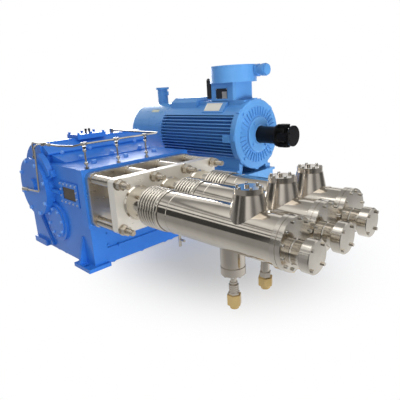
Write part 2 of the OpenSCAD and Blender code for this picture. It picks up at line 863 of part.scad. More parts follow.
// Outlet neck, flange and the four bolts that close it
module outlet(k) {
    y = k * cylinder_pitch;
    color(steel) set_down() {
        turned_x(y, outlet_z)
            polygon([[head_face, 0], [head_face, outlet_radius + 3], [head_face + 4, outlet_radius],
                     [outlet_start, outlet_radius],
                     [outlet_start, outlet_flange_radius - 2], [outlet_start + 2, outlet_flange_radius],
                     [outlet_face - 3, outlet_flange_radius], [outlet_face, outlet_flange_radius - 3],
                     [outlet_face, 0]]);
        for (n = [0 : 3]) {
            angle = 45 + 90 * n;
            bolt_y = y + outlet_bolt_circle * sin(angle);
            bolt_z = outlet_z + outlet_bolt_circle * cos(angle);
            translate([outlet_face - 1, bolt_y, bolt_z]) rotate([0, 90, 0])
                cylinder(h = outlet_bolt_height + 1, r = 8.5, $fn = 6);
        }
    }
}

// Brass union nuts with open ports, two under each jacket
module brass_nuts() {
    purge_top = axis_height - purge_depth - 26;
    color(brass) set_down() for (k = cylinders) {
        y = k * cylinder_pitch;
        difference() {
            union() {
                hex_z(drain_end - brass_height, drain_end, brass_flats, drain_x, y);
                bar_z(drain_end - brass_height - 18, drain_end, brass_flats / 2 - 9, drain_x, y);
            }
            bar_z(drain_end - brass_height - 19, drain_end - brass_height + 12, port_radius, drain_x, y);
        }
        difference() {
            union() {
                hex_z(purge_top - purge_height, purge_top, purge_flats, purge_x, y);
                bar_z(purge_top - purge_height - 15, purge_top, purge_flats / 2 - 8, purge_x, y);
            }
            bar_z(purge_top - purge_height - 16, purge_top - purge_height + 12, port_radius, purge_x, y);
        }
    }
}

module motor_stand() {
    color(azure) set_down() difference() {
        along_x(stand_back, stand_front) translate([motor_y, 0])
            polygon([[-stand_half, 0], [stand_half, 0], [stand_half, 20], [190, 20], [176, stand_top - 18],
                     [205, stand_top - 18], [205, stand_top], [-205, stand_top], [-205, stand_top - 18],
                     [-176, stand_top - 18], [-190, 20], [-stand_half, 20]]);
        for (x = [stand_back + stand_hole_inset, stand_front - stand_hole_inset]) {
            for (side = [-1, 1]) {
                translate([x, motor_y + side * stand_hole_spread / 2, -1])
                    cylinder(h = 22, r = stand_hole_radius);
            }
        }
    }
}

// Cross-section of the finned motor frame, around its own axis
module fin_outline() {
    circle(r = frame_radius);
    rows = floor(150 / fin_spacing);
    intersection() {
        circle(r = fin_radius);
        for (row = [-rows - 1 : rows]) {
            translate([-fin_radius, row * fin_spacing - fin_shift - fin_thickness / 2])
                square([2 * fin_radius, fin_thickness]);
        }
    }
    // Smooth shoulders above the fins and the flat top pad
    intersection() {
        circle(r = fin_radius - 4);
        translate([-fin_radius, 155]) square([2 * fin_radius, fin_radius]);
    }
    translate([-pad_half, 150]) square([2 * pad_half, pad_top - 150]);
    // Feet
    for (side = [-1, 1]) {
        polygon([[side * 120, -160], [side * 150, -motor_foot_height], [side * 205, -motor_foot_height],
                 [side * 205, -motor_foot_height + 28], [side * 176, -motor_foot_height + 34],
                 [side * 188, -120]]);
    }
}

module motor_frame() {
    block_back = frame_back + 33;
    block_front = neck_x - 256;
    color(azure) set_down() translate([0, motor_y, motor_height]) {
        along_x(frame_back, frame_front) fin_outline();
        // Flange that the end shield is bolted to
        bar_x(frame_front - 15, frame_front, shield_radius - 3, 0, 0);
        // Raised block behind the terminal box, chamfered all round
        intersection() {
            along_x(block_back, block_front)
                polygon([[-134, 200], [134, 200], [134, 250], [104, 285], [-104, 285], [-134, 250]]);
            along_y(-140, 140)
                polygon([[block_back, 190], [block_front, 190], [block_front, 262], [block_front - 22, 285],
                         [block_back + 32, 285], [block_back, 240]]);
        }
        // Sloping pad for a bare plate, on the near shoulder
        along_x(neck_x - 156, neck_x + 58)
            polygon([[-112, 236], [-117, 248], [-181, 176], [-172, 162], [-140, 160]]);
        // Earthing lug among the fins
        translate([frame_front - 84, -fin_radius - 8, -34]) cube([70, 40, 54]);
    }
}

module fan_cowl() {
    rim = 34;
    color(azure) set_down() difference() {
        turned_x(motor_y, motor_height)
            polygon(concat([[frame_back, 0], [frame_back, cowl_radius - 4], [frame_back - 6, cowl_radius]],
                [for (a = [0 : 15 : 90]) [cowl_back + rim - rim * sin(a), cowl_radius - rim + rim * cos(a)]],
                [[cowl_back, 0]]));
        for (ring = [50 : 26 : 180]) {
            turned_x(motor_y, motor_height)
                translate([cowl_back - 1, ring]) square([9, 12]);
        }
    }
}

module cowl_stub() {
    x = frame_back - 228;
    foot_z = motor_height;
    top = motor_height + cowl_radius + 134;
    color(azure) set_down() {
        difference() {
            bar_z(foot_z, top - 18, 46, x, motor_y);
            bar_x(x - 80, x + 80, cowl_radius + seat, motor_y, motor_height);
        }
        bar_z(top - 18, top, 60, x, motor_y);
        translate([x + 40, motor_y - 8, top - 70]) cube([34, 16, 34]);
    }
}

module end_shield() {
    color(azure) set_down() difference() {
        union() {
            turned_x(motor_y, motor_height)
                polygon([[frame_front, 0], [frame_front, shield_radius], [shield_face - 6, shield_radius],
                         [shield_face, shield_radius - 8], [shield_face, shield_radius - 50],
                         [shield_face + 4, shield_radius - 54], [shield_face + 4, cap_radius + 5],
                         [shield_face + 10, cap_radius], [cap_face - 3, cap_radius],
                         [cap_face, cap_radius - 5], [cap_face, 0]]);
            // Short radial ribs around the bearing cap
            for (n = [0 : rib_count - 1]) {
                translate([shield_face - 8, motor_y, motor_height]) rotate([n * 360 / rib_count, 0, 0])
                    translate([0, -rib_thickness / 2, cap_radius + 10]) cube([22, rib_thickness, 64]);
            }
            // Bolt lugs around the rim
            for (n = [0 : 7]) {
                translate([frame_front + 1, motor_y, motor_height]) rotate([n * 45, 0, 0])
                    translate([0, -18, shield_radius - 16]) cube([shield_thickness - 10, 36, 16 + lug_proud]);
            }
        }
        bar_x(frame_front - 1, cap_face + 1, shaft_radius + running, motor_y, motor_height);
    }
}

// Outline of a block seen from above, with its corners cut off
module cut_corners(length, width, cut) {
    x = length / 2;
    y = width / 2;
    polygon([[-x, cut - y], [cut - x, -y], [x - cut, -y], [x, cut - y],
             [x, y - cut], [x - cut, y], [cut - x, y], [-x, y - cut]]);
}

module terminal_box() {
    color(azure) set_down() {
        translate([neck_x, motor_y, motor_height + pad_top])
            linear_extrude(box_bottom - motor_height - pad_top + 1) cut_corners(box_neck, box_neck - 30, 18);
        translate([neck_x, motor_y, motor_height + pad_top])
            linear_extrude(14) cut_corners(box_neck + 4, box_neck - 26, 18);
        bar_z(box_bottom, box_top - 12, box_radius, box_x, motor_y);
        bar_z(box_top - 12, box_top, box_radius + 2, box_x, motor_y);
    }
}

module cable_gland() {
    z = box_top - 44;
    root = box_x + sqrt(box_radius * box_radius - gland_offset * gland_offset);
    color(azure) set_down() difference() {
        union() {
            bar_x(root - 50, root + 106, 38, motor_y + gland_offset, z);
            bar_x(root + 12, root + 34, 44, motor_y + gland_offset, z);
            bar_x(root + 66, root + 92, 44, motor_y + gland_offset, z);
        }
        bar_z(z - 90, z + 90, box_radius + seat, box_x, motor_y);
        bar_z(box_top - 13, z + 90, box_radius + 2 + seat, box_x, motor_y);
    }
}

module box_plug() {
    x = neck_x - box_neck / 2;
    low = motor_height + pad_top + 16;
    high = low + 152;
    color(dark) set_down() difference() {
        along_x(x - 44, x) translate([motor_y - 76, 0])
            polygon([[-20, low], [20, low], [20, high - 14], [8, high], [-8, high], [-20, high - 14]]);
        bar_z(box_bottom - 1, box_top + 1, box_radius + 2 + seat, box_x, motor_y);
    }
}

module motor_shaft() {
    color(dark) set_down() {
        bar_x(shaft_root, hub_start + 1, shaft_radius, motor_y, motor_height);
        bar_x(hub_start, hub_end, coupling_radius, motor_y, motor_height);
    }
}

// Fork with two bored ears; its ears lie along Z, its base lies at x = 0 and its mouth towards +X
module fork(base_radius) {
    difference() {
        union() {
            rotate([0, 90, 0]) cylinder(h = yoke_base, r = base_radius);
            for (side = [-1, 1]) {
                low = side > 0 ? ear_inner : -yoke_reach;
                translate([yoke_base - 1, -ear_radius, low])
                    cube([yoke_throat + 1, 2 * ear_radius, ear_thickness]);
                translate([yoke_base + yoke_throat, 0, low]) cylinder(h = ear_thickness, r = ear_radius);
            }
        }
        translate([yoke_base + yoke_throat, 0, -trunnion_end])
            cylinder(h = 2 * trunnion_end, r = trunnion_radius + running);
    }
}

module inner_yoke() {
    color(dark) set_down() translate([hub_end, motor_y, motor_height]) fork(yoke_reach);
}

module yoke_cross() {
    reach = trunnion_end - 0.5;
    color(dark) set_down() translate([cross_x, motor_y, motor_height]) {
        cube([40, 40, 40], center = true);
        translate([0, 0, -reach]) cylinder(h = 2 * reach, r = trunnion_radius);
        rotate([90, 0, 0]) translate([0, 0, -reach]) cylinder(h = 2 * reach, r = trunnion_radius);
    }
}

module outer_yoke() {
    color(dark) set_down() difference() {
        translate([outer_face, motor_y, motor_height]) rotate([90, 0, 0]) mirror([1, 0, 0])
            fork(yoke_reach - 8);
        for (n = [0 : 7]) {
            angle = 22.5 + 45 * n;
            bar_x(outer_face - yoke_base - 1, outer_face + 1, 5.5,
                  motor_y + flange_hole_circle * sin(angle), motor_height + flange_hole_circle * cos(angle));
        }
    }
}

crankcase();
crosshead_cover();
hatch();
breathers();
gear_case();
gear_cover();
bearing_cover();
window_frame();
window_glass();
far_bearing_cover();
rear_cover();
oil_header();
oil_drops();
oil_side_line();
oil_case_line();
back_plate();
front_plate();
spacers();
tie_bolts();
piston_rods();
gland_drain();
bellows(-1);  // bellows_1
bellows(0);  // bellows_2
bellows(1);  // bellows_3
jacket(-1);  // jacket_1
jacket(0);  // jacket_2
jacket(1);  // jacket_3
vent_cone(-1);  // vent_cone_1
vent_cone(0);  // vent_cone_2
vent_cone(1);  // vent_cone_3
drain_boss(-1);  // drain_boss_1
drain_boss(0);  // drain_boss_2
drain_boss(1);  // drain_boss_3
head(-1);  // head_1
head(0);  // head_2
head(1);  // head_3
outlet(-1);  // outlet_1
outlet(0);  // outlet_2
outlet(1);  // outlet_3
brass_nuts();
motor_stand();
motor_frame();
fan_cowl();
cowl_stub();
end_shield();
terminal_box();
cable_gland();
box_plug();
motor_shaft();
inner_yoke();
yoke_cross();
outer_yoke();
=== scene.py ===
import bpy
import bmesh
from math import cos, sin, pi, radians
from mathutils import Matrix, Vector


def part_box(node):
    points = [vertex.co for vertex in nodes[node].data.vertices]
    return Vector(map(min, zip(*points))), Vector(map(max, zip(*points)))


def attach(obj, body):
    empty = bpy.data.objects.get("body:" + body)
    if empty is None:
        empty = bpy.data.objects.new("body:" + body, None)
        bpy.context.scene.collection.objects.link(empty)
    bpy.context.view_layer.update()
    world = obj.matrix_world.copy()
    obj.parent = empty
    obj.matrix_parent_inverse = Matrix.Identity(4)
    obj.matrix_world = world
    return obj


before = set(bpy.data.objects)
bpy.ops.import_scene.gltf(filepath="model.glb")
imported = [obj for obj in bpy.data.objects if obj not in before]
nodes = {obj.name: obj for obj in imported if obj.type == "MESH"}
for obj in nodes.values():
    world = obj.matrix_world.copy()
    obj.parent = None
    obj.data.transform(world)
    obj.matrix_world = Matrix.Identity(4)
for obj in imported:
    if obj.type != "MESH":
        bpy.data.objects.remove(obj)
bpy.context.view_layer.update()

# Studio
# A white floor that runs out into a white room, lit by three soft boxes. The camera stands
# in front of the cold ends at chest height and looks back at the crankcase.
scene = bpy.context.scene
scene.view_settings.view_transform = "Standard"
camera_data = bpy.data.cameras.new("camera")
camera_data.sensor_width = 36.0
camera_data.lens = 35.664
camera_data.clip_end = 60.0
camera = bpy.data.objects.new("camera", camera_data)
scene.collection.objects.link(camera)
camera_place = (1.8925, -1.8292, 1.0739)
yaw, pitch, roll = radians(46.1547), radians(15.7061), radians(3.4435)
ahead = Vector((-sin(yaw) * cos(pitch), cos(yaw) * cos(pitch), -sin(pitch)))
level = Vector((cos(yaw), sin(yaw), 0.0))
below = ahead.cross(level)
across = cos(roll) * level + sin(roll) * below
down = -sin(roll) * level + cos(roll) * below
turn = Matrix((across, -down, -ahead)).transposed().to_4x4()
camera.matrix_world = Matrix.Translation(camera_place) @ turn
scene.camera = camera

# The room is white to the eye. Polished metal sees it in bands, bright boxes between dark
# flags, which is what gives turned steel its stripes.


def figured(tree, operation, *values):
    """One step of arithmetic on values that are numbers or come from other nodes."""
    node = tree.nodes.new("ShaderNodeMath")
    node.operation = operation
    for slot, value in enumerate(values):
        if isinstance(value, bpy.types.NodeSocket):
            tree.links.new(value, node.inputs[slot])
        else:
            node.inputs[slot].default_value = value
    return node.outputs[0]


def spread(tree, value, start, stop, low=0.0, high=1.0, curve="LINEAR"):
    """Carries a value over from one range to another."""
    node = tree.nodes.new("ShaderNodeMapRange")
    node.interpolation_type = curve
    for label, number in (("From Min", start), ("From Max", stop), ("To Min", low), ("To Max", high)):
        node.inputs[label].default_value = number
    tree.links.new(value, node.inputs["Value"])
    return node.outputs["Result"]


def blend(tree, share, first, second, how="MIX"):
    """Mixes two colours, each a plain one or one from another node."""
    node = tree.nodes.new("ShaderNodeMixRGB")
    node.blend_type = how
    tree.links.new(share, node.inputs["Fac"])
    for label, colour in (("Color1", first), ("Color2", second)):
        if isinstance(colour, bpy.types.NodeSocket):
            tree.links.new(colour, node.inputs[label])
        else:
            node.inputs[label].default_value = (*colour, 1.0)
    return node.outputs["Color"]


def grey_ramp(tree, value, stops):
    """A scale of greys over a value, from a row of (place, brightness) pairs."""
    node = tree.nodes.new("ShaderNodeValToRGB")
    steps = node.color_ramp.elements
    steps[0].position, steps[-1].position = stops[0][0], stops[-1][0]
    for stop in stops[1:-1]:
        steps.new(stop[0])
    for step, (_, shade) in zip(steps, stops):
        step.color = (shade, shade, shade, 1.0)
    tree.links.new(value, node.inputs["Fac"])
    return node.outputs["Color"]


white = (1.0, 1.0, 1.0)
world = bpy.data.worlds.new("white_room")
scene.world = world
world.use_nodes = True
tree = world.node_tree
tree.nodes.clear()
seen = tree.nodes.new("ShaderNodeLightPath").outputs
plain_view = figured(tree, "MAXIMUM", seen["Is Camera Ray"], seen["Is Transmission Ray"])
where = tree.nodes.new("ShaderNodeTexCoord").outputs["Generated"]
split = tree.nodes.new("ShaderNodeSeparateXYZ")
tree.links.new(where, split.inputs[0])
toward_x, toward_y, toward_z = split.outputs["X"], split.outputs["Y"], split.outputs["Z"]
overhead = grey_ramp(tree, toward_z, ((0.30, 0.06), (0.33, 0.85), (0.38, 1.0), (0.41, 0.10), (0.45, 0.08),
                                      (0.48, 0.95), (0.55, 0.90), (0.58, 0.15), (0.62, 0.75), (0.68, 0.12),
                                      (0.71, 0.90), (0.80, 1.0), (0.90, 0.40)))
behind = grey_ramp(tree, toward_z, ((0.0, 0.95), (0.25, 0.95), (0.29, 0.12), (0.40, 0.12), (0.44, 0.95),
                                    (0.60, 0.95), (0.64, 0.35), (1.0, 0.35)))
upper = blend(tree, spread(tree, toward_y, -0.2, 0.3), overhead, behind)
bearing = figured(tree, "ARCTAN2", toward_y, toward_x)
around = grey_ramp(tree, spread(tree, bearing, -pi, pi),
                   ((0.0, 0.9), (0.045, 0.8), (0.075, 0.06), (0.155, 0.05), (0.175, 0.55), (0.195, 0.07),
                    (0.285, 0.12), (0.315, 0.95), (0.37, 0.85), (0.41, 0.30), (0.45, 0.20), (0.50, 0.60),
                    (0.56, 0.55), (0.60, 0.10), (0.72, 0.10), (0.76, 0.95), (1.0, 0.95)))
mirrored = blend(tree, spread(tree, toward_z, 0.28, 0.33), around, upper)
by_ray = blend(tree, seen["Is Glossy Ray"], (0.47, 0.48, 0.50), mirrored)
room = tree.nodes.new("ShaderNodeBackground")
room.inputs["Strength"].default_value = 1.0
tree.links.new(blend(tree, plain_view, by_ray, white), room.inputs["Color"])
room_out = tree.nodes.new("ShaderNodeOutputWorld")
tree.links.new(room.outputs[0], room_out.inputs["Surface"])

# The floor keeps the machine's shadow close to it and is plain white further out. In polished
# metal it darkens towards the near side and past the cold ends.
floor_reach, floor_level = 14.0, -0.0005
corners = [(x * floor_reach, y * floor_reach, floor_level) for x, y in ((-1, -1), (1, -1), (1, 1), (-1, 1))]
floor_mesh = bpy.data.meshes.new("floor")
floor_mesh.from_pydata(corners, [], [(0, 1, 2, 3)])
floor = bpy.data.objects.new("floor", floor_mesh)
scene.collection.objects.link(floor)
floor_paint = bpy.data.materials.new("floor_paint")
floor_paint.use_nodes = True
tree = floor_paint.node_tree
tree.nodes.clear()
seen = tree.nodes.new("ShaderNodeLightPath").outputs
eye_or_mirror = figured(tree, "MAXIMUM", seen["Is Camera Ray"], seen["Is Glossy Ray"])
any_view = figured(tree, "MAXIMUM", eye_or_mirror, seen["Is Transmission Ray"])
where = tree.nodes.new("ShaderNodeTexCoord").outputs["Object"]
from_middle = tree.nodes.new("ShaderNodeVectorMath")
from_middle.operation = "DISTANCE"
from_middle.inputs[1].default_value = (0.2, 0.1, 0.0)
tree.links.new(where, from_middle.inputs[0])
run_out = spread(tree, from_middle.outputs["Value"], 0.35, 1.10, 0.25, 1.0, "SMOOTHSTEP")
floor_place = tree.nodes.new("ShaderNodeSeparateXYZ")
tree.links.new(where, floor_place.inputs[0])
near_shade = spread(tree, floor_place.outputs["Y"], -1.3, 0.2, 0.33, 1.0)
ahead_shade = spread(tree, floor_place.outputs["X"], 1.4, 2.0, 1.0, 0.30)
both_shades = figured(tree, "MULTIPLY", near_shade, ahead_shade)
matt = tree.nodes.new("ShaderNodeBsdfDiffuse")
matt.inputs["Color"].default_value = (0.92, 0.92, 0.92, 1.0)
glow = tree.nodes.new("ShaderNodeEmission")
tree.links.new(blend(tree, seen["Is Glossy Ray"], white, both_shades), glow.inputs["Color"])
glow.inputs["Strength"].default_value = 1.0
both = tree.nodes.new("ShaderNodeMixShader")
tree.links.new(figured(tree, "MULTIPLY", any_view, run_out), both.inputs[0])
tree.links.new(matt.outputs[0], both.inputs[1])
tree.links.new(glow.outputs[0], both.inputs[2])
floor_out = tree.nodes.new("ShaderNodeOutputMaterial")
tree.links.new(both.outputs[0], floor_out.inputs["Surface"])
floor_mesh.materials.append(floor_paint)


def soft_lamp(name, place, aim, width, height, power):
    """A rectangular soft box that looks at a point of the machine."""
    data = bpy.data.lights.new(name, "AREA")
    data.shape = "RECTANGLE"
    data.size = width
    data.size_y = height
    data.energy = power
    lamp = bpy.data.objects.new(name, data)
    scene.collection.objects.link(lamp)
    lamp.location = place
    lamp.rotation_euler = (Vector(aim) - Vector(place)).to_track_quat("-Z", "Y").to_euler()
    return lamp


soft_lamp("roof_box", (0.9, -0.8, 3.4), (0.2, -0.3, 0.3), 3.0, 2.2, 30.0)
front_box = soft_lamp("front_box", (2.9, -0.3, 0.35), (-0.2, -0.3, 0.25), 2.6, 0.7, 70.0)
front_box.visible_glossy = False
soft_lamp("back_box", (-3.8, 1.9, 1.9), (-0.4, -0.25, 0.65), 4.2, 1.6, 130.0)

# Crankcase and its covers
# Grey iron castings under royal blue enamel, sprayed after assembly, so that the covers and
# their bolts carry the same coat. The casting skin shows through it as a faint orange peel.


def noise(tree, place, scale, detail):
    """A cloudy variation over a surface."""
    node = tree.nodes.new("ShaderNodeTexNoise")
    node.inputs["Scale"].default_value = scale
    node.inputs["Detail"].default_value = detail
    tree.links.new(place, node.inputs["Vector"])
    return node.outputs["Fac"]


def dressed(tree, colour, roughness, height, strength, distance):
    """Joins colour, roughness and fine relief to the shader of a finish."""
    shader = tree.nodes["Principled BSDF"]
    tree.links.new(colour, shader.inputs["Base Color"])
    tree.links.new(roughness, shader.inputs["Roughness"])
    bump = tree.nodes.new("ShaderNodeBump")
    bump.inputs["Strength"].default_value = strength
    bump.inputs["Distance"].default_value = distance
    tree.links.new(height, bump.inputs["Height"])
    tree.links.new(bump.outputs["Normal"], shader.inputs["Normal"])
    return shader


def enamel(name, base, deep, skin, roughness, coat):
    """Glossy enamel over a casting: slow colour drift, fine skin and slightly uneven gloss."""
    paint = bpy.data.materials.new(name)
    paint.use_nodes = True
    tree = paint.node_tree
    where = tree.nodes.new("ShaderNodeTexCoord").outputs["Object"]
    tone = tree.nodes.new("ShaderNodeValToRGB")
    for step, place, colour in zip(tone.color_ramp.elements, (0.35, 0.68), (deep, base)):
        step.position = place
        step.color = (*colour, 1.0)
    tree.links.new(noise(tree, where, 4.0, 4.0), tone.inputs["Fac"])
    gloss = spread(tree, noise(tree, where, 22.0, 3.0), 0.0, 1.0, roughness - 0.06, roughness + 0.08)
    shader = dressed(tree, tone.outputs["Color"], gloss, noise(tree, where, 110.0, 3.0), skin, 0.0012)
    shader.inputs["Specular IOR Level"].default_value = 0.30
    shader.inputs["Coat Weight"].default_value = coat
    shader.inputs["Coat Roughness"].default_value = 0.20
    return paint


royal_cast = enamel("royal_cast", (0.040, 0.235, 0.790), (0.033, 0.200, 0.700), 0.25, 0.38, 0.50)
# A lighter, glossier royal for bolt heads: its lighter tone is a painted highlight on the heads.
highlight_royal = enamel("highlight_royal", (0.220, 0.450, 0.900), (0.140, 0.360, 0.860), 0.20, 0.25, 0.60)
for name in ("crankcase", "crosshead_cover", "hatch", "gear_case", "gear_cover", "bearing_cover",
             "window_frame", "far_bearing_cover", "rear_cover"):
    nodes[name].material_slots[0].material = royal_cast

# Bolts of the sloped cover and the ledge
# Hexagon screws that hold the crosshead cover down on the crankcase and seat the crosshead
# guides under the ledge. They were painted over with the casting; their heads are drawn in a
# lighter royal as a painted highlight.


def head_tree(name, layout):
    """Geometry Nodes that stand a bolt head on every point of a ring or of a grid."""
    group = bpy.data.node_groups.new(name, "GeometryNodeTree")
    io = group.interface
    io.new_socket(name="Geometry", in_out="OUTPUT", socket_type="NodeSocketGeometry")
    if layout == "ring":
        sizes = (("Count", "NodeSocketInt"), ("Ring Radius", "NodeSocketFloat"),
                 ("First Angle", "NodeSocketFloat"))
    else:
        sizes = (("Columns", "NodeSocketInt"), ("Rows", "NodeSocketInt"),
                 ("Length", "NodeSocketFloat"), ("Width", "NodeSocketFloat"))
    for label, kind in sizes + (("Head Sides", "NodeSocketInt"), ("Head Width", "NodeSocketFloat"),
                                ("Head Height", "NodeSocketFloat"), ("Washer Width", "NodeSocketFloat"),
                                ("Washer Height", "NodeSocketFloat")):
        io.new_socket(name=label, in_out="INPUT", socket_type=kind)
    io.new_socket(name="Finish", in_out="INPUT", socket_type="NodeSocketMaterial")
    made, link = group.nodes, group.links
    given = made.new("NodeGroupInput")

    def share_of(label, factor):
        return figured(group, "MULTIPLY", given.outputs[label], factor)

    def lifted(geometry, height):
        place = made.new("ShaderNodeCombineXYZ")
        link.new(height, place.inputs["Z"])
        move = made.new("GeometryNodeTransform")
        link.new(geometry, move.inputs["Geometry"])
        link.new(place.outputs[0], move.inputs["Translation"])
        return move.outputs["Geometry"]

    over_corners = 0.57
    washer_height = given.outputs["Washer Height"]
    washer = made.new("GeometryNodeMeshCylinder")
    washer.inputs["Vertices"].default_value = 20
    link.new(share_of("Washer Width", 0.5), washer.inputs["Radius"])
    link.new(washer_height, washer.inputs["Depth"])
    washer_at = lifted(washer.outputs["Mesh"], share_of("Washer Height", 0.5))
    shank = made.new("GeometryNodeMeshCylinder")
    link.new(given.outputs["Head Sides"], shank.inputs["Vertices"])
    link.new(share_of("Head Width", over_corners), shank.inputs["Radius"])
    shank_height = share_of("Head Height", 0.8)
    link.new(shank_height, shank.inputs["Depth"])
    half_shank = figured(group, "MULTIPLY", shank_height, 0.5)
    shank_at = lifted(shank.outputs["Mesh"], figured(group, "ADD", washer_height, half_shank))
    cap = made.new("GeometryNodeMeshCone")
    link.new(given.outputs["Head Sides"], cap.inputs["Vertices"])
    link.new(share_of("Head Width", 0.45), cap.inputs["Radius Top"])
    link.new(share_of("Head Width", over_corners), cap.inputs["Radius Bottom"])
    link.new(share_of("Head Height", 0.2), cap.inputs["Depth"])
    cap_at = lifted(cap.outputs["Mesh"], figured(group, "ADD", washer_height, shank_height))
    head = made.new("GeometryNodeJoinGeometry")
    for part in (washer_at, shank_at, cap_at):
        link.new(part, head.inputs[0])
    if layout == "ring":
        points = made.new("GeometryNodeMeshCircle")
        link.new(given.outputs["Count"], points.inputs["Vertices"])
        link.new(given.outputs["Ring Radius"], points.inputs["Radius"])
        angle = made.new("ShaderNodeCombineXYZ")
        link.new(given.outputs["First Angle"], angle.inputs["Z"])
        set_round = made.new("GeometryNodeTransform")
        link.new(points.outputs["Mesh"], set_round.inputs["Geometry"])
        link.new(angle.outputs[0], set_round.inputs["Rotation"])
        spots = set_round.outputs["Geometry"]
    else:
        points = made.new("GeometryNodeMeshGrid")
        link.new(given.outputs["Columns"], points.inputs["Vertices X"])
        link.new(given.outputs["Rows"], points.inputs["Vertices Y"])
        link.new(given.outputs["Length"], points.inputs["Size X"])
        link.new(given.outputs["Width"], points.inputs["Size Y"])
        spots = points.outputs["Mesh"]
    stand = made.new("GeometryNodeInstanceOnPoints")
    link.new(spots, stand.inputs["Points"])
    link.new(head.outputs[0], stand.inputs["Instance"])
    real = made.new("GeometryNodeRealizeInstances")
    link.new(stand.outputs[0], real.inputs[0])
    finish = made.new("GeometryNodeSetMaterial")
    link.new(real.outputs[0], finish.inputs["Geometry"])
    link.new(given.outputs["Finish"], finish.inputs["Material"])
    result = made.new("NodeGroupOutput")
    link.new(finish.outputs[0], result.inputs[0])
    return group


ring_of_heads = head_tree("ring_of_heads", "ring")
grid_of_heads = head_tree("grid_of_heads", "grid")
UP, UNDER, NEAR, FAR, FRONT, BACK = (0, 0, 1), (0, 0, -1), (0, -1, 0), (0, 1, 0), (1, 0, 0), (-1, 0, 0)
m20 = dict(head_sides=6, head_width=0.031, head_height=0.0190, washer_width=0.037, washer_height=0.003)
m16 = dict(head_sides=6, head_width=0.024, head_height=0.010, washer_width=0.030, washer_height=0.0025)
m12 = dict(head_sides=6, head_width=0.019, head_height=0.0090, washer_width=0.023, washer_height=0.002)
m8 = dict(head_sides=12, head_width=0.012, head_height=0.006, washer_width=0.014, washer_height=0.001)


def set_down(mesh, place, facing, along):
    """Moves a mesh to its place on the machine and turns it to face outwards."""
    z = Vector(facing).normalized()
    x = Vector(along)
    x = (x - z * x.dot(z)).normalized()
    mesh.transform(Matrix.Translation(place) @ Matrix((x, z.cross(x), z)).transposed().to_4x4())
    return mesh


def heads(group, place, facing, along, finish, **sizes):
    """Evaluates one pattern of heads and returns its mesh, set in its place on the machine."""
    holder = bpy.data.objects.new("pattern", bpy.data.meshes.new("pattern"))
    scene.collection.objects.link(holder)
    maker = holder.modifiers.new("heads", "NODES")
    maker.node_group = group
    values = {label.replace("_", " ").title(): value for label, value in sizes.items()}
    values["Finish"] = finish
    for item in group.interface.items_tree:
        if item.item_type == "SOCKET" and item.in_out == "INPUT":
            maker[item.identifier] = values[item.name]
    bpy.context.view_layer.update()
    shape = bpy.data.meshes.new_from_object(holder.evaluated_get(bpy.context.evaluated_depsgraph_get()))
    holder.modifiers.remove(maker)
    bpy.data.objects.remove(holder)
    return set_down(shape, place, facing, along)


def lone_head(place, facing, along, finish, **sizes):
    """A single head, from a grid of one."""
    return heads(grid_of_heads, place, facing, along, finish,
                 columns=1, rows=1, length=0.0, width=0.0, **sizes)


def one_piece(name, shapes, finish, body):
    """Joins meshes into one piece, at the origin, that rides on a body."""
    whole = bmesh.new()
    for shape in shapes:
        whole.from_mesh(shape)
        bpy.data.meshes.remove(shape)
    mesh = bpy.data.meshes.new(name)
    whole.to_mesh(mesh)
    whole.free()
    mesh.materials.clear()
    mesh.materials.append(finish)
    for face in mesh.polygons:
        face.material_index = 0
    piece = bpy.data.objects.new(name, mesh)
    scene.collection.objects.link(piece)
    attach(piece, body)
    return piece


def seat_on(node, start, toward):
    """The place on a node's skin that a straight line meets first, and the way out of it."""
    place, outward = nodes[node].ray_cast(Vector(start), Vector(toward).normalized())[1:3]
    return place, outward


ledge_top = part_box("crosshead_cover")[0][2]
front_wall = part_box("back_plate")[0][0]
middle_y = (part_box("back_plate")[0][1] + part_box("back_plate")[1][1]) / 2
pitch_y = 0.250
ledge_bolts = [heads(grid_of_heads, (front_wall - 0.180, middle_y + 0.014, ledge_top), UP, FRONT, highlight_royal,
                     columns=1, rows=3, length=0.0, width=2 * pitch_y, **m20)]
for n in (-1, 0, 1):
    start = (front_wall - 0.362, middle_y + 0.018 + n * pitch_y, ledge_top + 0.2)
    place, outward = seat_on("crosshead_cover", start, UNDER)
    ledge_bolts.append(lone_head(place, outward, FAR, highlight_royal, **m20))
for y in (-0.6045, -0.3885, -0.1750, 0.0065):
    place, outward = seat_on("crosshead_cover", (front_wall, y, ledge_top + 0.060), BACK)
    ledge_bolts.append(lone_head(place, outward, FAR, highlight_royal, **m16))
one_piece("ledge_bolts", ledge_bolts, highlight_royal, "root")

# Plugs and jacking studs of the crankcase front
# Small plugs close oil ways at the edge of the sunk front panel, and short jacking studs
# stand under the front and side edges between the feet. Both are steel under the same paint.
edge_low = seat_on("crankcase", (front_wall - 0.012, middle_y, 0.001), UP)[0].z
side_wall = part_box("bearing_cover")[1][1]
front_plugs = []
for y, z in ((-0.6010, 0.202), (-0.6010, 0.128), (-0.5250, 0.112)):
    place, outward = seat_on("crankcase", (front_wall + 0.3, y, z), BACK)
    front_plugs.append(lone_head(place, FRONT, UP, royal_cast, **m12))
jack = dict(head_sides=6, head_width=0.030, head_height=edge_low * 0.56,
            washer_width=0.040, washer_height=0.003)
jack_inset = 0.020
jack_places = [(front_wall - jack_inset, y) for y in (-0.5715, -0.3405, -0.1300, -0.0700)]
jack_places += [(x, side_wall + jack_inset) for x in (-0.7855, -0.6765)]
for x, y in jack_places:
    front_plugs.append(lone_head((x, y, edge_low), UNDER, FRONT, royal_cast, **jack))
one_piece("front_plugs", front_plugs, royal_cast, "root")

# Ribs beside the bearing cover
# A pair of cast ribs runs down the near wall from the gear case to a small lug by the floor,
# and a low flat land lies on the same wall beside the front plate. All are cast with the case.


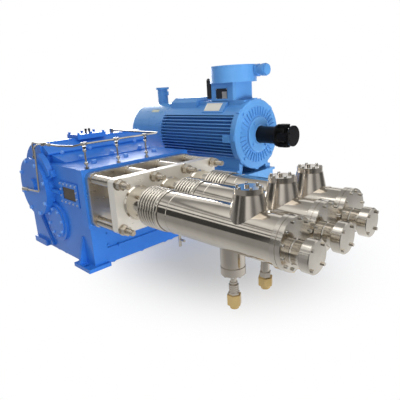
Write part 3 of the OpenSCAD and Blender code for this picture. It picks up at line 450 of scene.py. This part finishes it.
def wall_bar(start, stop, width, proud):
    """A bar with bevelled edges that lies on the near wall between two points, given as x and z."""
    start, stop = Vector((start[0], 0.0, start[1])), Vector((stop[0], 0.0, stop[1]))
    along = (stop - start).normalized()
    aside = along.cross(Vector(NEAR)) * width / 2
    shape = bmesh.new()
    rows = [[shape.verts.new(place + offset + Vector((0.0, depth, 0.0)))
             for place, offset in ((start, -aside), (start, aside), (stop, aside), (stop, -aside))]
            for depth in (side_wall + 0.001, side_wall - proud)]
    shape.faces.new(rows[0])
    crown = shape.faces.new(rows[1])
    for n in range(4):
        shape.faces.new((rows[0][n], rows[0][(n + 1) % 4], rows[1][(n + 1) % 4], rows[1][n]))
    bmesh.ops.bevel(shape, geom=crown.edges[:], offset=proud * 0.35, segments=2, affect="EDGES")
    bmesh.ops.recalc_face_normals(shape, faces=shape.faces[:])
    mesh = bpy.data.meshes.new("bar")
    shape.to_mesh(mesh)
    shape.free()
    return mesh


rib_width, rib_proud = 0.014, 0.013
lug = dict(head_sides=20, head_width=0.034, head_height=0.012, washer_width=0.046, washer_height=0.007)
wall_ribs = [wall_bar((-0.9890, 0.2560), (-0.8560, 0.0580), rib_width, rib_proud),
             wall_bar((-0.9560, 0.2480), (-0.8310, 0.0640), rib_width, rib_proud),
             lone_head((-0.8370, side_wall, 0.0480), NEAR, FRONT, royal_cast, **lug)]
one_piece("wall_ribs", wall_ribs, royal_cast, "root")
land_x, land_foot, land_top = front_wall - 0.036, 0.272, ledge_top - 0.004
land_width, land_proud = 0.070, 0.007
front_land = wall_bar((land_x, land_top), (land_x, land_foot), land_width, land_proud)
one_piece("front_land", [front_land], royal_cast, "root")

# Bolts of the gear cover, the bearing covers and the rear cover
# Hexagon screws, all painted over: eight in a ring around the gear cover, eight around each of
# the bearing covers, and fourteen along the edges of the rear cover.
gear_low, gear_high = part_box("gear_cover")
gear_radius, gear_lid = 0.207, 0.022
gear_mid = (gear_low[0] + gear_radius, gear_high[1] - gear_lid, (gear_low[2] + gear_high[2]) / 2)
lid_bolts = [heads(ring_of_heads, gear_mid, NEAR, FRONT, highlight_royal,
                   count=8, ring_radius=0.187, first_angle=radians(15), **m16)]
bearing_radius = 0.136
for cover, facing in (("bearing_cover", NEAR), ("far_bearing_cover", FAR)):
    cover_low, cover_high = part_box(cover)
    cover_face = cover_low[1] if facing == NEAR else cover_high[1]
    cover_mid = ((cover_low[0] + cover_high[0]) / 2, cover_face, cover_low[2] + bearing_radius)
    lid_bolts.append(heads(ring_of_heads, cover_mid, facing, FRONT, royal_cast,
                           count=8, ring_radius=0.095, first_angle=radians(12), **m12))
rear_low, rear_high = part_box("rear_cover")
rear_mid = (rear_low[0], (rear_low[1] + rear_high[1]) / 2, (rear_low[2] + rear_high[2]) / 2)
for columns, trim_y, trim_z in ((5, 0.030, 0.030), (2, 0.030, 0.110)):
    lid_bolts.append(heads(grid_of_heads, rear_mid, BACK, FAR, royal_cast, columns=columns, rows=2,
                           length=rear_high[1] - rear_low[1] - 2 * trim_y,
                           width=rear_high[2] - rear_low[2] - 2 * trim_z, **m12))
# Every head in this piece takes the lighter royal, a painted highlight.
one_piece("lid_bolts", lid_bolts, highlight_royal, "root")

# Inspection windows
# Brown-tinted panes behind painted frames, one on each side of the crosshead chamber. Bright
# zinc-plated screws hold each frame, five above, five below and two up each side.


def steel(name, tint, dark, roughness, marks, mark_scale, depth, lathe=0.0):
    """Stainless steel with fine tool marks; a lathe value spreads its shine across turned rings."""
    metal = bpy.data.materials.new(name)
    metal.use_nodes = True
    tree = metal.node_tree
    where = tree.nodes.new("ShaderNodeTexCoord").outputs["Object"]
    stretch = tree.nodes.new("ShaderNodeMapping")
    stretch.inputs["Scale"].default_value = marks
    tree.links.new(where, stretch.inputs["Vector"])
    lines = noise(tree, stretch.outputs["Vector"], mark_scale, 5.0)
    tone = blend(tree, noise(tree, where, 9.0, 4.0), dark, tint)
    gloss = spread(tree, lines, 0.0, 1.0, roughness * 0.7, roughness * 1.4)
    shader = dressed(tree, tone, gloss, lines, depth, 0.0006)
    shader.inputs["Metallic"].default_value = 1.0
    if lathe:
        shader.inputs["Anisotropic"].default_value = lathe
        rings = tree.nodes.new("ShaderNodeTangent")
        rings.direction_type = "RADIAL"
        rings.axis = "X"
        tree.links.new(rings.outputs["Tangent"], shader.inputs["Tangent"])
    return metal


def flat_finish(name, base, other, roughness, scale, depth, specular=0.5):
    """A matt or satin finish with a mottled tone and a fine grain."""
    skin = bpy.data.materials.new(name)
    skin.use_nodes = True
    tree = skin.node_tree
    where = tree.nodes.new("ShaderNodeTexCoord").outputs["Object"]
    mottle = noise(tree, where, scale, 4.0)
    gloss = spread(tree, mottle, 0.0, 1.0, roughness - 0.06, roughness + 0.06)
    shader = dressed(tree, blend(tree, mottle, base, other), gloss, mottle, depth, 0.0006)
    shader.inputs["Specular IOR Level"].default_value = specular
    return skin


brown_glass = flat_finish("brown_glass", (0.040, 0.028, 0.018), (0.115, 0.080, 0.048), 0.14, 14.0, 0.02)
nodes["window_glass"].material_slots[0].material = brown_glass
even = (1.0, 1.0, 1.0)
zinc_steel = steel("zinc_steel", (0.80, 0.87, 0.98), (0.66, 0.76, 0.92), 0.30, even, 90.0, 0.10)
window_low, window_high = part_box("window_frame")
window_screws = []
for side, facing in ((0, NEAR), (1, FAR)):
    mid = ((window_low[0] + window_high[0]) / 2, (window_low[1], window_high[1])[side],
           (window_low[2] + window_high[2]) / 2)
    for columns, length, width in ((5, 0.204, 0.120), (2, 0.206, 0.042)):
        window_screws.append(heads(grid_of_heads, mid, facing, FRONT, zinc_steel,
                                   columns=columns, rows=2, length=length, width=width, **m8))
one_piece("window_screws", window_screws, zinc_steel, "root")

# Hatch and breathers
# A painted filling lid on the roof with six screws around its edge, and two short breathers
# of black plastic that stand in it.
black_plastic = flat_finish("black_plastic", (0.012, 0.012, 0.014), (0.024, 0.024, 0.027), 0.45, 120.0, 0.3)
nodes["breathers"].material_slots[0].material = black_plastic
hatch_low, hatch_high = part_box("hatch")
hatch_top = seat_on("hatch", (hatch_high[0] - 0.010, hatch_low[1] + 0.010, hatch_high[2] + 0.1), UNDER)[0].z
hatch_mid = ((hatch_low[0] + hatch_high[0]) / 2, (hatch_low[1] + hatch_high[1]) / 2, hatch_top)
hatch_trim = 0.026
hatch_screw = dict(head_sides=6, head_width=0.016, head_height=0.012, washer_width=0.020, washer_height=0.002)
hatch_bolts = [heads(grid_of_heads, hatch_mid, UP, FRONT, royal_cast, columns=2, rows=3,
                     length=hatch_high[0] - hatch_low[0] - hatch_trim,
                     width=hatch_high[1] - hatch_low[1] - hatch_trim, **hatch_screw)]
one_piece("hatch_bolts", hatch_bolts, royal_cast, "root")

# Lubrication lines
# Bright drawn stainless tube, bent cold, with compression unions. The header lies over the
# cover and feeds three drops, and a branch runs down the near side to the gear cover.
bright_steel = steel("bright_steel", (0.74, 0.72, 0.68), (0.52, 0.50, 0.46), 0.11, even, 90.0, 0.05)
for name in ("oil_header", "oil_drops", "oil_side_line", "oil_case_line"):
    nodes[name].material_slots[0].material = bright_steel

# Distance piece
# Two stainless plates, bead-blasted to a pale satin, are held apart by eight turned tubes.
# Tie bolts with washers and hexagon nuts pass through them, and the stud ends are threaded.
# The front plate takes a paler tint than the back plate, a painted highlight for the light on its face.
lit_front_plate_steel = steel("lit_front_plate_steel", (0.99, 0.95, 0.87), (0.88, 0.83, 0.74), 0.30, (1.0, 1.0, 5.0), 7.0, 0.30)
turned_steel = steel("turned_steel", (0.80, 0.75, 0.67), (0.56, 0.51, 0.44), 0.20, (40.0, 1.0, 1.0),
                     14.0, 0.22)
nut_steel = steel("nut_steel", (0.78, 0.72, 0.63), (0.58, 0.53, 0.45), 0.20, even, 50.0, 0.12)
lit_front_plate_steel.node_tree.nodes["Principled BSDF"].inputs["Metallic"].default_value = 0.45
nodes["front_plate"].material_slots[0].material = lit_front_plate_steel
back_steel = steel("back_steel", (0.84, 0.78, 0.68), (0.62, 0.56, 0.47), 0.28, (1.0, 1.0, 5.0), 7.0, 0.25)
nodes["back_plate"].material_slots[0].material = back_steel
for name in ("spacers", "piston_rods"):
    nodes[name].material_slots[0].material = turned_steel
for name in ("tie_bolts", "gland_drain"):
    nodes[name].material_slots[0].material = nut_steel


def thread_tree():
    """Geometry Nodes that stack thin ridges along a stud, as the crests of its thread."""
    group = bpy.data.node_groups.new("stud_thread", "GeometryNodeTree")
    io = group.interface
    io.new_socket(name="Geometry", in_out="OUTPUT", socket_type="NodeSocketGeometry")
    io.new_socket(name="Crests", in_out="INPUT", socket_type="NodeSocketInt")
    for label in ("Thread Pitch", "Stud Radius", "Crest Size"):
        io.new_socket(name=label, in_out="INPUT", socket_type="NodeSocketFloat")
    io.new_socket(name="Finish", in_out="INPUT", socket_type="NodeSocketMaterial")
    made, link = group.nodes, group.links
    given = made.new("NodeGroupInput")
    row = made.new("GeometryNodeMeshLine")
    link.new(given.outputs["Crests"], row.inputs["Count"])
    step = made.new("ShaderNodeCombineXYZ")
    link.new(given.outputs["Thread Pitch"], step.inputs["Z"])
    link.new(step.outputs[0], row.inputs["Offset"])
    hoop = made.new("GeometryNodeCurvePrimitiveCircle")
    hoop.inputs["Resolution"].default_value = 28
    link.new(given.outputs["Stud Radius"], hoop.inputs["Radius"])
    ridge = made.new("GeometryNodeCurvePrimitiveCircle")
    ridge.inputs["Resolution"].default_value = 4
    link.new(given.outputs["Crest Size"], ridge.inputs["Radius"])
    crest = made.new("GeometryNodeCurveToMesh")
    link.new(hoop.outputs["Curve"], crest.inputs["Curve"])
    link.new(ridge.outputs["Curve"], crest.inputs["Profile Curve"])
    stand = made.new("GeometryNodeInstanceOnPoints")
    link.new(row.outputs["Mesh"], stand.inputs["Points"])
    link.new(crest.outputs["Mesh"], stand.inputs["Instance"])
    real = made.new("GeometryNodeRealizeInstances")
    link.new(stand.outputs[0], real.inputs[0])
    finish = made.new("GeometryNodeSetMaterial")
    link.new(real.outputs[0], finish.inputs["Geometry"])
    link.new(given.outputs["Finish"], finish.inputs["Material"])
    result = made.new("NodeGroupOutput")
    link.new(finish.outputs[0], result.inputs[0])
    return group


stud_thread = thread_tree()
tie_low, tie_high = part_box("tie_bolts")
tie_reach, thread_start = 0.033, 0.0515
threads = []
for n in range(4):
    for z in (tie_low[2] + tie_reach, tie_high[2] - tie_reach):
        y = middle_y + (n - 1.5) * pitch_y
        threads.append(heads(stud_thread, (tie_low[0] + thread_start, y, z), FRONT, UP, nut_steel,
                             crests=12, thread_pitch=0.0040, stud_radius=0.016, crest_size=0.0011))
one_piece("stud_threads", threads, nut_steel, "root")

# Cold ends
# Vacuum jackets of polished stainless tube with bellows at the warm end, their grooves darkened
# with painted shade, and two turned rings at the cold end. The cones on top and the drain bosses
# are spun and turned.
jacket_steel = steel("jacket_steel", (0.74, 0.69, 0.61), (0.54, 0.49, 0.42), 0.085, even, 60.0, 0.06)
cone_steel = steel("cone_steel", (0.68, 0.63, 0.56), (0.48, 0.43, 0.37), 0.17, (3.0, 3.0, 1.0), 20.0, 0.12)
ring_steel = steel("ring_steel", (0.80, 0.75, 0.67), (0.50, 0.46, 0.40), 0.14, (30.0, 1.0, 1.0), 14.0, 0.16,
                   lathe=0.50)
bellows_steel = steel("bellows_steel", (0.84, 0.79, 0.70), (0.60, 0.55, 0.47), 0.13, even, 50.0, 0.08)
tree = bellows_steel.node_tree
shader = tree.nodes["Principled BSDF"]
tone = shader.inputs["Base Color"].links[0].from_socket
where = tree.nodes.new("ShaderNodeTexCoord").outputs["Object"]
split = tree.nodes.new("ShaderNodeSeparateXYZ")
tree.links.new(where, split.inputs[0])
aside = figured(tree, "WRAP", split.outputs["Y"], middle_y + pitch_y / 2, middle_y - pitch_y / 2)
jacket_z = (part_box("jacket_1")[0][2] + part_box("jacket_1")[1][2]) / 2
from_axis = tree.nodes.new("ShaderNodeCombineXYZ")
for slot, source, centre in (("X", aside, middle_y), ("Y", split.outputs["Z"], jacket_z)):
    tree.links.new(figured(tree, "SUBTRACT", source, centre), from_axis.inputs[slot])
reach = tree.nodes.new("ShaderNodeVectorMath")
reach.operation = "LENGTH"
tree.links.new(from_axis.outputs[0], reach.inputs[0])
groove = spread(tree, reach.outputs["Value"], 0.094, 0.118)
# Painted shade: the bellows colour goes nearly black in the grooves between the crests.
painted_groove_shade = grey_ramp(tree, groove, ((0.0, 1.0), (0.12, 1.0), (0.20, 0.02), (0.55, 0.05), (0.84, 1.0),
                                 (1.0, 1.0)))
past_neck = figured(tree, "GREATER_THAN", split.outputs["X"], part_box("bellows_1")[0][0] + 0.030)
tree.links.new(blend(tree, past_neck, tone, painted_groove_shade, "MULTIPLY"), shader.inputs["Base Color"])
for k in "123":
    nodes["jacket_" + k].material_slots[0].material = jacket_steel
    nodes["vent_cone_" + k].material_slots[0].material = cone_steel
    nodes["bellows_" + k].material_slots[0].material = bellows_steel
    nodes["drain_boss_" + k].material_slots[0].material = cone_steel
    for name in ("head_", "outlet_"):
        nodes[name + k].material_slots[0].material = ring_steel

# Screws of the cold ends
# Stainless cap screws that close the end rings of each jacket, that hold the lid on each vent
# cone and that clamp the lower ring of each drain boss.
cap_screw = dict(head_sides=14, head_width=0.0125, head_height=0.008,
                 washer_width=0.015, washer_height=0.0012)
cold_screws = []
for k in "123":
    low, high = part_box("head_" + k)
    axis_y, axis_z = (low[1] + high[1]) / 2, (low[2] + high[2]) / 2
    cold_screws.append(heads(ring_of_heads, (high[0], axis_y, axis_z), FRONT, UP, bright_steel,
                             count=12, ring_radius=0.1035, first_angle=radians(15), **cap_screw))
    low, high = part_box("vent_cone_" + k)
    cold_screws.append(heads(ring_of_heads, ((low[0] + high[0]) / 2, axis_y, high[2] - 0.010), UP, FRONT,
                             bright_steel, count=6, ring_radius=0.052, first_angle=radians(20), **cap_screw))
    low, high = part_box("drain_boss_" + k)
    boss_x = low[0] + 0.060
    cold_screws.append(heads(ring_of_heads, (boss_x, axis_y, low[2] + 0.113), UNDER, FRONT,
                             bright_steel, count=8, ring_radius=0.048, first_angle=radians(10), **cap_screw))
one_piece("cold_screws", cold_screws, bright_steel, "root")

# Union nuts
# Six brass union nuts, two below each cold end, with the bright skin of bar stock.
brass = steel("brass", (0.90, 0.68, 0.34), (0.66, 0.46, 0.18), 0.22, even, 60.0, 0.1)
nodes["brass_nuts"].material_slots[0].material = brass

# Motor
# Cast frame, end shield and terminal box, a sheet-steel fan cowl and a welded stand, all under
# one coat of a lighter azure enamel. Sheet is smoother than the castings.
azure_cast = enamel("azure_cast", (0.120, 0.350, 0.730), (0.102, 0.310, 0.670), 0.28, 0.34, 0.45)
azure_sheet = enamel("azure_sheet", (0.118, 0.345, 0.710), (0.105, 0.320, 0.660), 0.06, 0.28, 0.45)
for name in ("motor_frame", "end_shield", "terminal_box", "cable_gland", "cowl_stub"):
    nodes[name].material_slots[0].material = azure_cast
for name in ("fan_cowl", "motor_stand"):
    nodes[name].material_slots[0].material = azure_sheet

# Screws of the motor
# Painted hexagon screws in the bearing cap and on the face of the shield, and small round heads
# around the rim of the cowl.
shaft_low, shaft_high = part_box("motor_shaft")
shield_low, shield_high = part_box("end_shield")
cowl_low, cowl_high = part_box("fan_cowl")
motor_axis = Vector(((shield_low[0] + shield_high[0]) / 2, (shaft_low[1] + shaft_high[1]) / 2,
                     (shaft_low[2] + shaft_high[2]) / 2))
motor_screws = []
for x, ring_radius, first_angle in ((shield_high[0], 0.103, 38), (shield_high[0] - 0.022, 0.224, 45)):
    motor_screws.append(heads(ring_of_heads, (x, motor_axis.y, motor_axis.z), FRONT, UP, azure_cast,
                              count=4, ring_radius=ring_radius, first_angle=radians(first_angle), **m12))
for n in range(8):
    angle = radians(22.5 + 45 * n)
    outward = Vector((0.0, cos(angle), sin(angle)))
    rim_mid = Vector((cowl_high[0] - 0.022, motor_axis.y, motor_axis.z))
    place = seat_on("fan_cowl", rim_mid + 0.4 * outward, -outward)[0]
    motor_screws.append(lone_head(place, outward, FRONT, azure_sheet, **m8))
one_piece("motor_screws", motor_screws, azure_cast, "root")

# Seal ring of the motor shaft
# A pressed steel ring around the shaft hub that keeps grease inside the bearing cap. It stands
# proud of the cap, under the same azure coat.
hub_radius = (shaft_high[1] - shaft_low[1]) / 2
section = [(0.0, hub_radius + 0.003), (0.008, hub_radius + 0.003), (0.009, hub_radius + 0.004),
           (0.009, hub_radius + 0.009), (0.006, hub_radius + 0.012), (0.0, hub_radius + 0.013)]
whole = bmesh.new()
loops = []
for n in range(64):
    angle = 2 * pi * n / 64
    loops.append([whole.verts.new((shield_high[0] - 0.0005 + x, motor_axis.y + reach * cos(angle),
                                   motor_axis.z + reach * sin(angle))) for x, reach in section])
for n in range(64):
    for k in range(len(section)):
        here, after = loops[n], loops[(n + 1) % 64]
        whole.faces.new((here[k], here[(k + 1) % len(section)], after[(k + 1) % len(section)], after[k]))
bmesh.ops.recalc_face_normals(whole, faces=whole.faces[:])
seal_mesh = bpy.data.meshes.new("seal_ring")
whole.to_mesh(seal_mesh)
whole.free()
one_piece("seal_ring", [seal_mesh], azure_cast, "root")

# Terminal box and gland
# A round cast box on a square neck, a gland with small screws in both its flanges, and a black
# plastic connector at the back of the neck.
nodes["box_plug"].material_slots[0].material = black_plastic
gland_low, gland_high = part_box("cable_gland")
gland_y, gland_z = (gland_low[1] + gland_high[1]) / 2, (gland_low[2] + gland_high[2]) / 2
m6 = dict(head_sides=6, head_width=0.010, head_height=0.006, washer_width=0.012, washer_height=0.001)
box_screws = [heads(ring_of_heads, (gland_high[0] - inset, gland_y, gland_z), FRONT, UP, azure_cast,
                    count=4, ring_radius=0.0400, first_angle=radians(45), **m6) for inset in (0.014, 0.072)]
one_piece("box_screws", box_screws, azure_cast, "root")

# Bare plates of the motor
# Blank metal plates: a satin one on the sloped pad and a black one with a pale field on the neck
# of the terminal box, each on four rivets, and a small curved one on the cowl.


def plate_mesh(name, width, height, thickness, corner, bend=0.0):
    """A blank plate with rounded corners and a raised rim, flat or bent around its width."""
    whole = bmesh.new()
    outline = []
    for quarter, (sx, sy) in enumerate(((1, 1), (-1, 1), (-1, -1), (1, -1))):
        for n in range(5):
            angle = (quarter + n / 4) * pi / 2
            outline.append(whole.verts.new((sx * (width / 2 - corner) + corner * cos(angle),
                                            sy * (height / 2 - corner) + corner * sin(angle), thickness)))
    face = whole.faces.new(outline)
    skirt = bmesh.ops.extrude_face_region(whole, geom=[face])
    low = [item for item in skirt["geom"] if isinstance(item, bmesh.types.BMVert)]
    bmesh.ops.translate(whole, verts=low, vec=(0.0, 0.0, -thickness))
    bmesh.ops.recalc_face_normals(whole, faces=whole.faces[:])
    top = max(whole.faces, key=lambda item: item.calc_center_median().z)
    bmesh.ops.inset_region(whole, faces=[top], thickness=corner * 0.6)
    bmesh.ops.inset_region(whole, faces=[top], thickness=corner * 0.3, depth=-thickness * 0.4)
    if bend:
        bmesh.ops.triangulate(whole, faces=[item for item in whole.faces if len(item.verts) > 4])
        for cut in range(1, 8):
            x = -width / 2 + width * cut / 8
            bmesh.ops.bisect_plane(whole, geom=whole.verts[:] + whole.edges[:] + whole.faces[:],
                                   plane_co=(x, 0, 0), plane_no=(1, 0, 0))
        for vert in whole.verts:
            angle = vert.co.x / bend
            reach = bend + vert.co.z
            vert.co.x, vert.co.z = reach * sin(angle), reach * cos(angle) - bend
    mesh = bpy.data.meshes.new(name)
    whole.to_mesh(mesh)
    whole.free()
    return mesh


rivet = dict(head_sides=12, head_width=0.006, head_height=0.002, washer_width=0.0065, washer_height=0.0004)
rivet_seat = 0.0014
pad_start = (-0.2320, motor_axis.y - 0.149 - 0.224, motor_axis.z + 0.212 + 0.199)
pad_place, pad_out = seat_on("motor_frame", pad_start, (0.0, 0.7474, -0.6644))
blank_metal = steel("blank_metal", (0.93, 0.91, 0.84), (0.80, 0.77, 0.68), 0.34, (1.0, 12.0, 12.0),
                    22.0, 0.12)
name_plate = [set_down(plate_mesh("name_plate", 0.160, 0.072, 0.0016, 0.004), pad_place, pad_out, FRONT),
              heads(grid_of_heads, pad_place + pad_out * rivet_seat, pad_out, FRONT, blank_metal,
                    columns=2, rows=2, length=0.149, width=0.061, **rivet)]
one_piece("pad_plate", name_plate, blank_metal, "root")

plate_black = flat_finish("plate_black", (0.010, 0.013, 0.020), (0.026, 0.032, 0.044), 0.32, 40.0, 0.05)
neck_place, neck_out = seat_on("terminal_box", (-0.1755, motor_axis.y - 0.5, 1.0255), FAR)
neck_plate = [set_down(plate_mesh("neck_plate", 0.112, 0.076, 0.0016, 0.004), neck_place, neck_out, FRONT)]
one_piece("neck_plate", neck_plate, plate_black, "root")
neck_skin = neck_place + neck_out * rivet_seat
pale_place = neck_skin + Vector((0.0290, 0.0, -0.0100))
neck_field = [set_down(plate_mesh("neck_field", 0.046, 0.050, 0.0012, 0.002), pale_place, neck_out, FRONT),
              heads(grid_of_heads, neck_skin, neck_out, FRONT, blank_metal,
                    columns=2, rows=2, length=0.102, width=0.066, **rivet)]
one_piece("neck_field", neck_field, blank_metal, "root")

cowl_radius = (cowl_high[1] - cowl_low[1]) / 2
plate_angle = radians(131)
cowl_out = Vector((0.0, cos(plate_angle), sin(plate_angle)))
cowl_round = (0.0, -cowl_out.z, cowl_out.y)
cowl_place = Vector((-0.9150, motor_axis.y, motor_axis.z)) + cowl_out * (cowl_radius - 0.0004)
cowl_metal = steel("cowl_metal", (0.60, 0.62, 0.50), (0.30, 0.34, 0.30), 0.30, even, 40.0, 0.12)
cowl_plate = plate_mesh("cowl_plate", 0.030, 0.100, 0.0016, 0.003, bend=cowl_radius)
set_down(cowl_plate, cowl_place, cowl_out, cowl_round)
one_piece("cowl_plate", [cowl_plate], cowl_metal, "root")

# Shaft and universal joint
# Forged steel in satin black: the motor shaft with its hub, and a universal joint whose outer
# flange has free holes for the bolts of the shaft that it drives.
black_satin = flat_finish("black_satin", (0.003, 0.003, 0.004), (0.007, 0.007, 0.008), 0.40, 70.0, 0.2, 0.18)
for name in ("motor_shaft", "inner_yoke", "yoke_cross", "outer_yoke"):
    nodes[name].material_slots[0].material = black_satin
hub_bolts = [heads(ring_of_heads, (shaft_high[0] - 0.160, motor_axis.y, motor_axis.z), BACK, UP, black_satin,
                   count=6, ring_radius=0.0505, first_angle=radians(30), head_sides=6, head_width=0.013,
                   head_height=0.007, washer_width=0.016, washer_height=0.0012)]
one_piece("hub_bolts", hub_bolts, black_satin, "shaft")
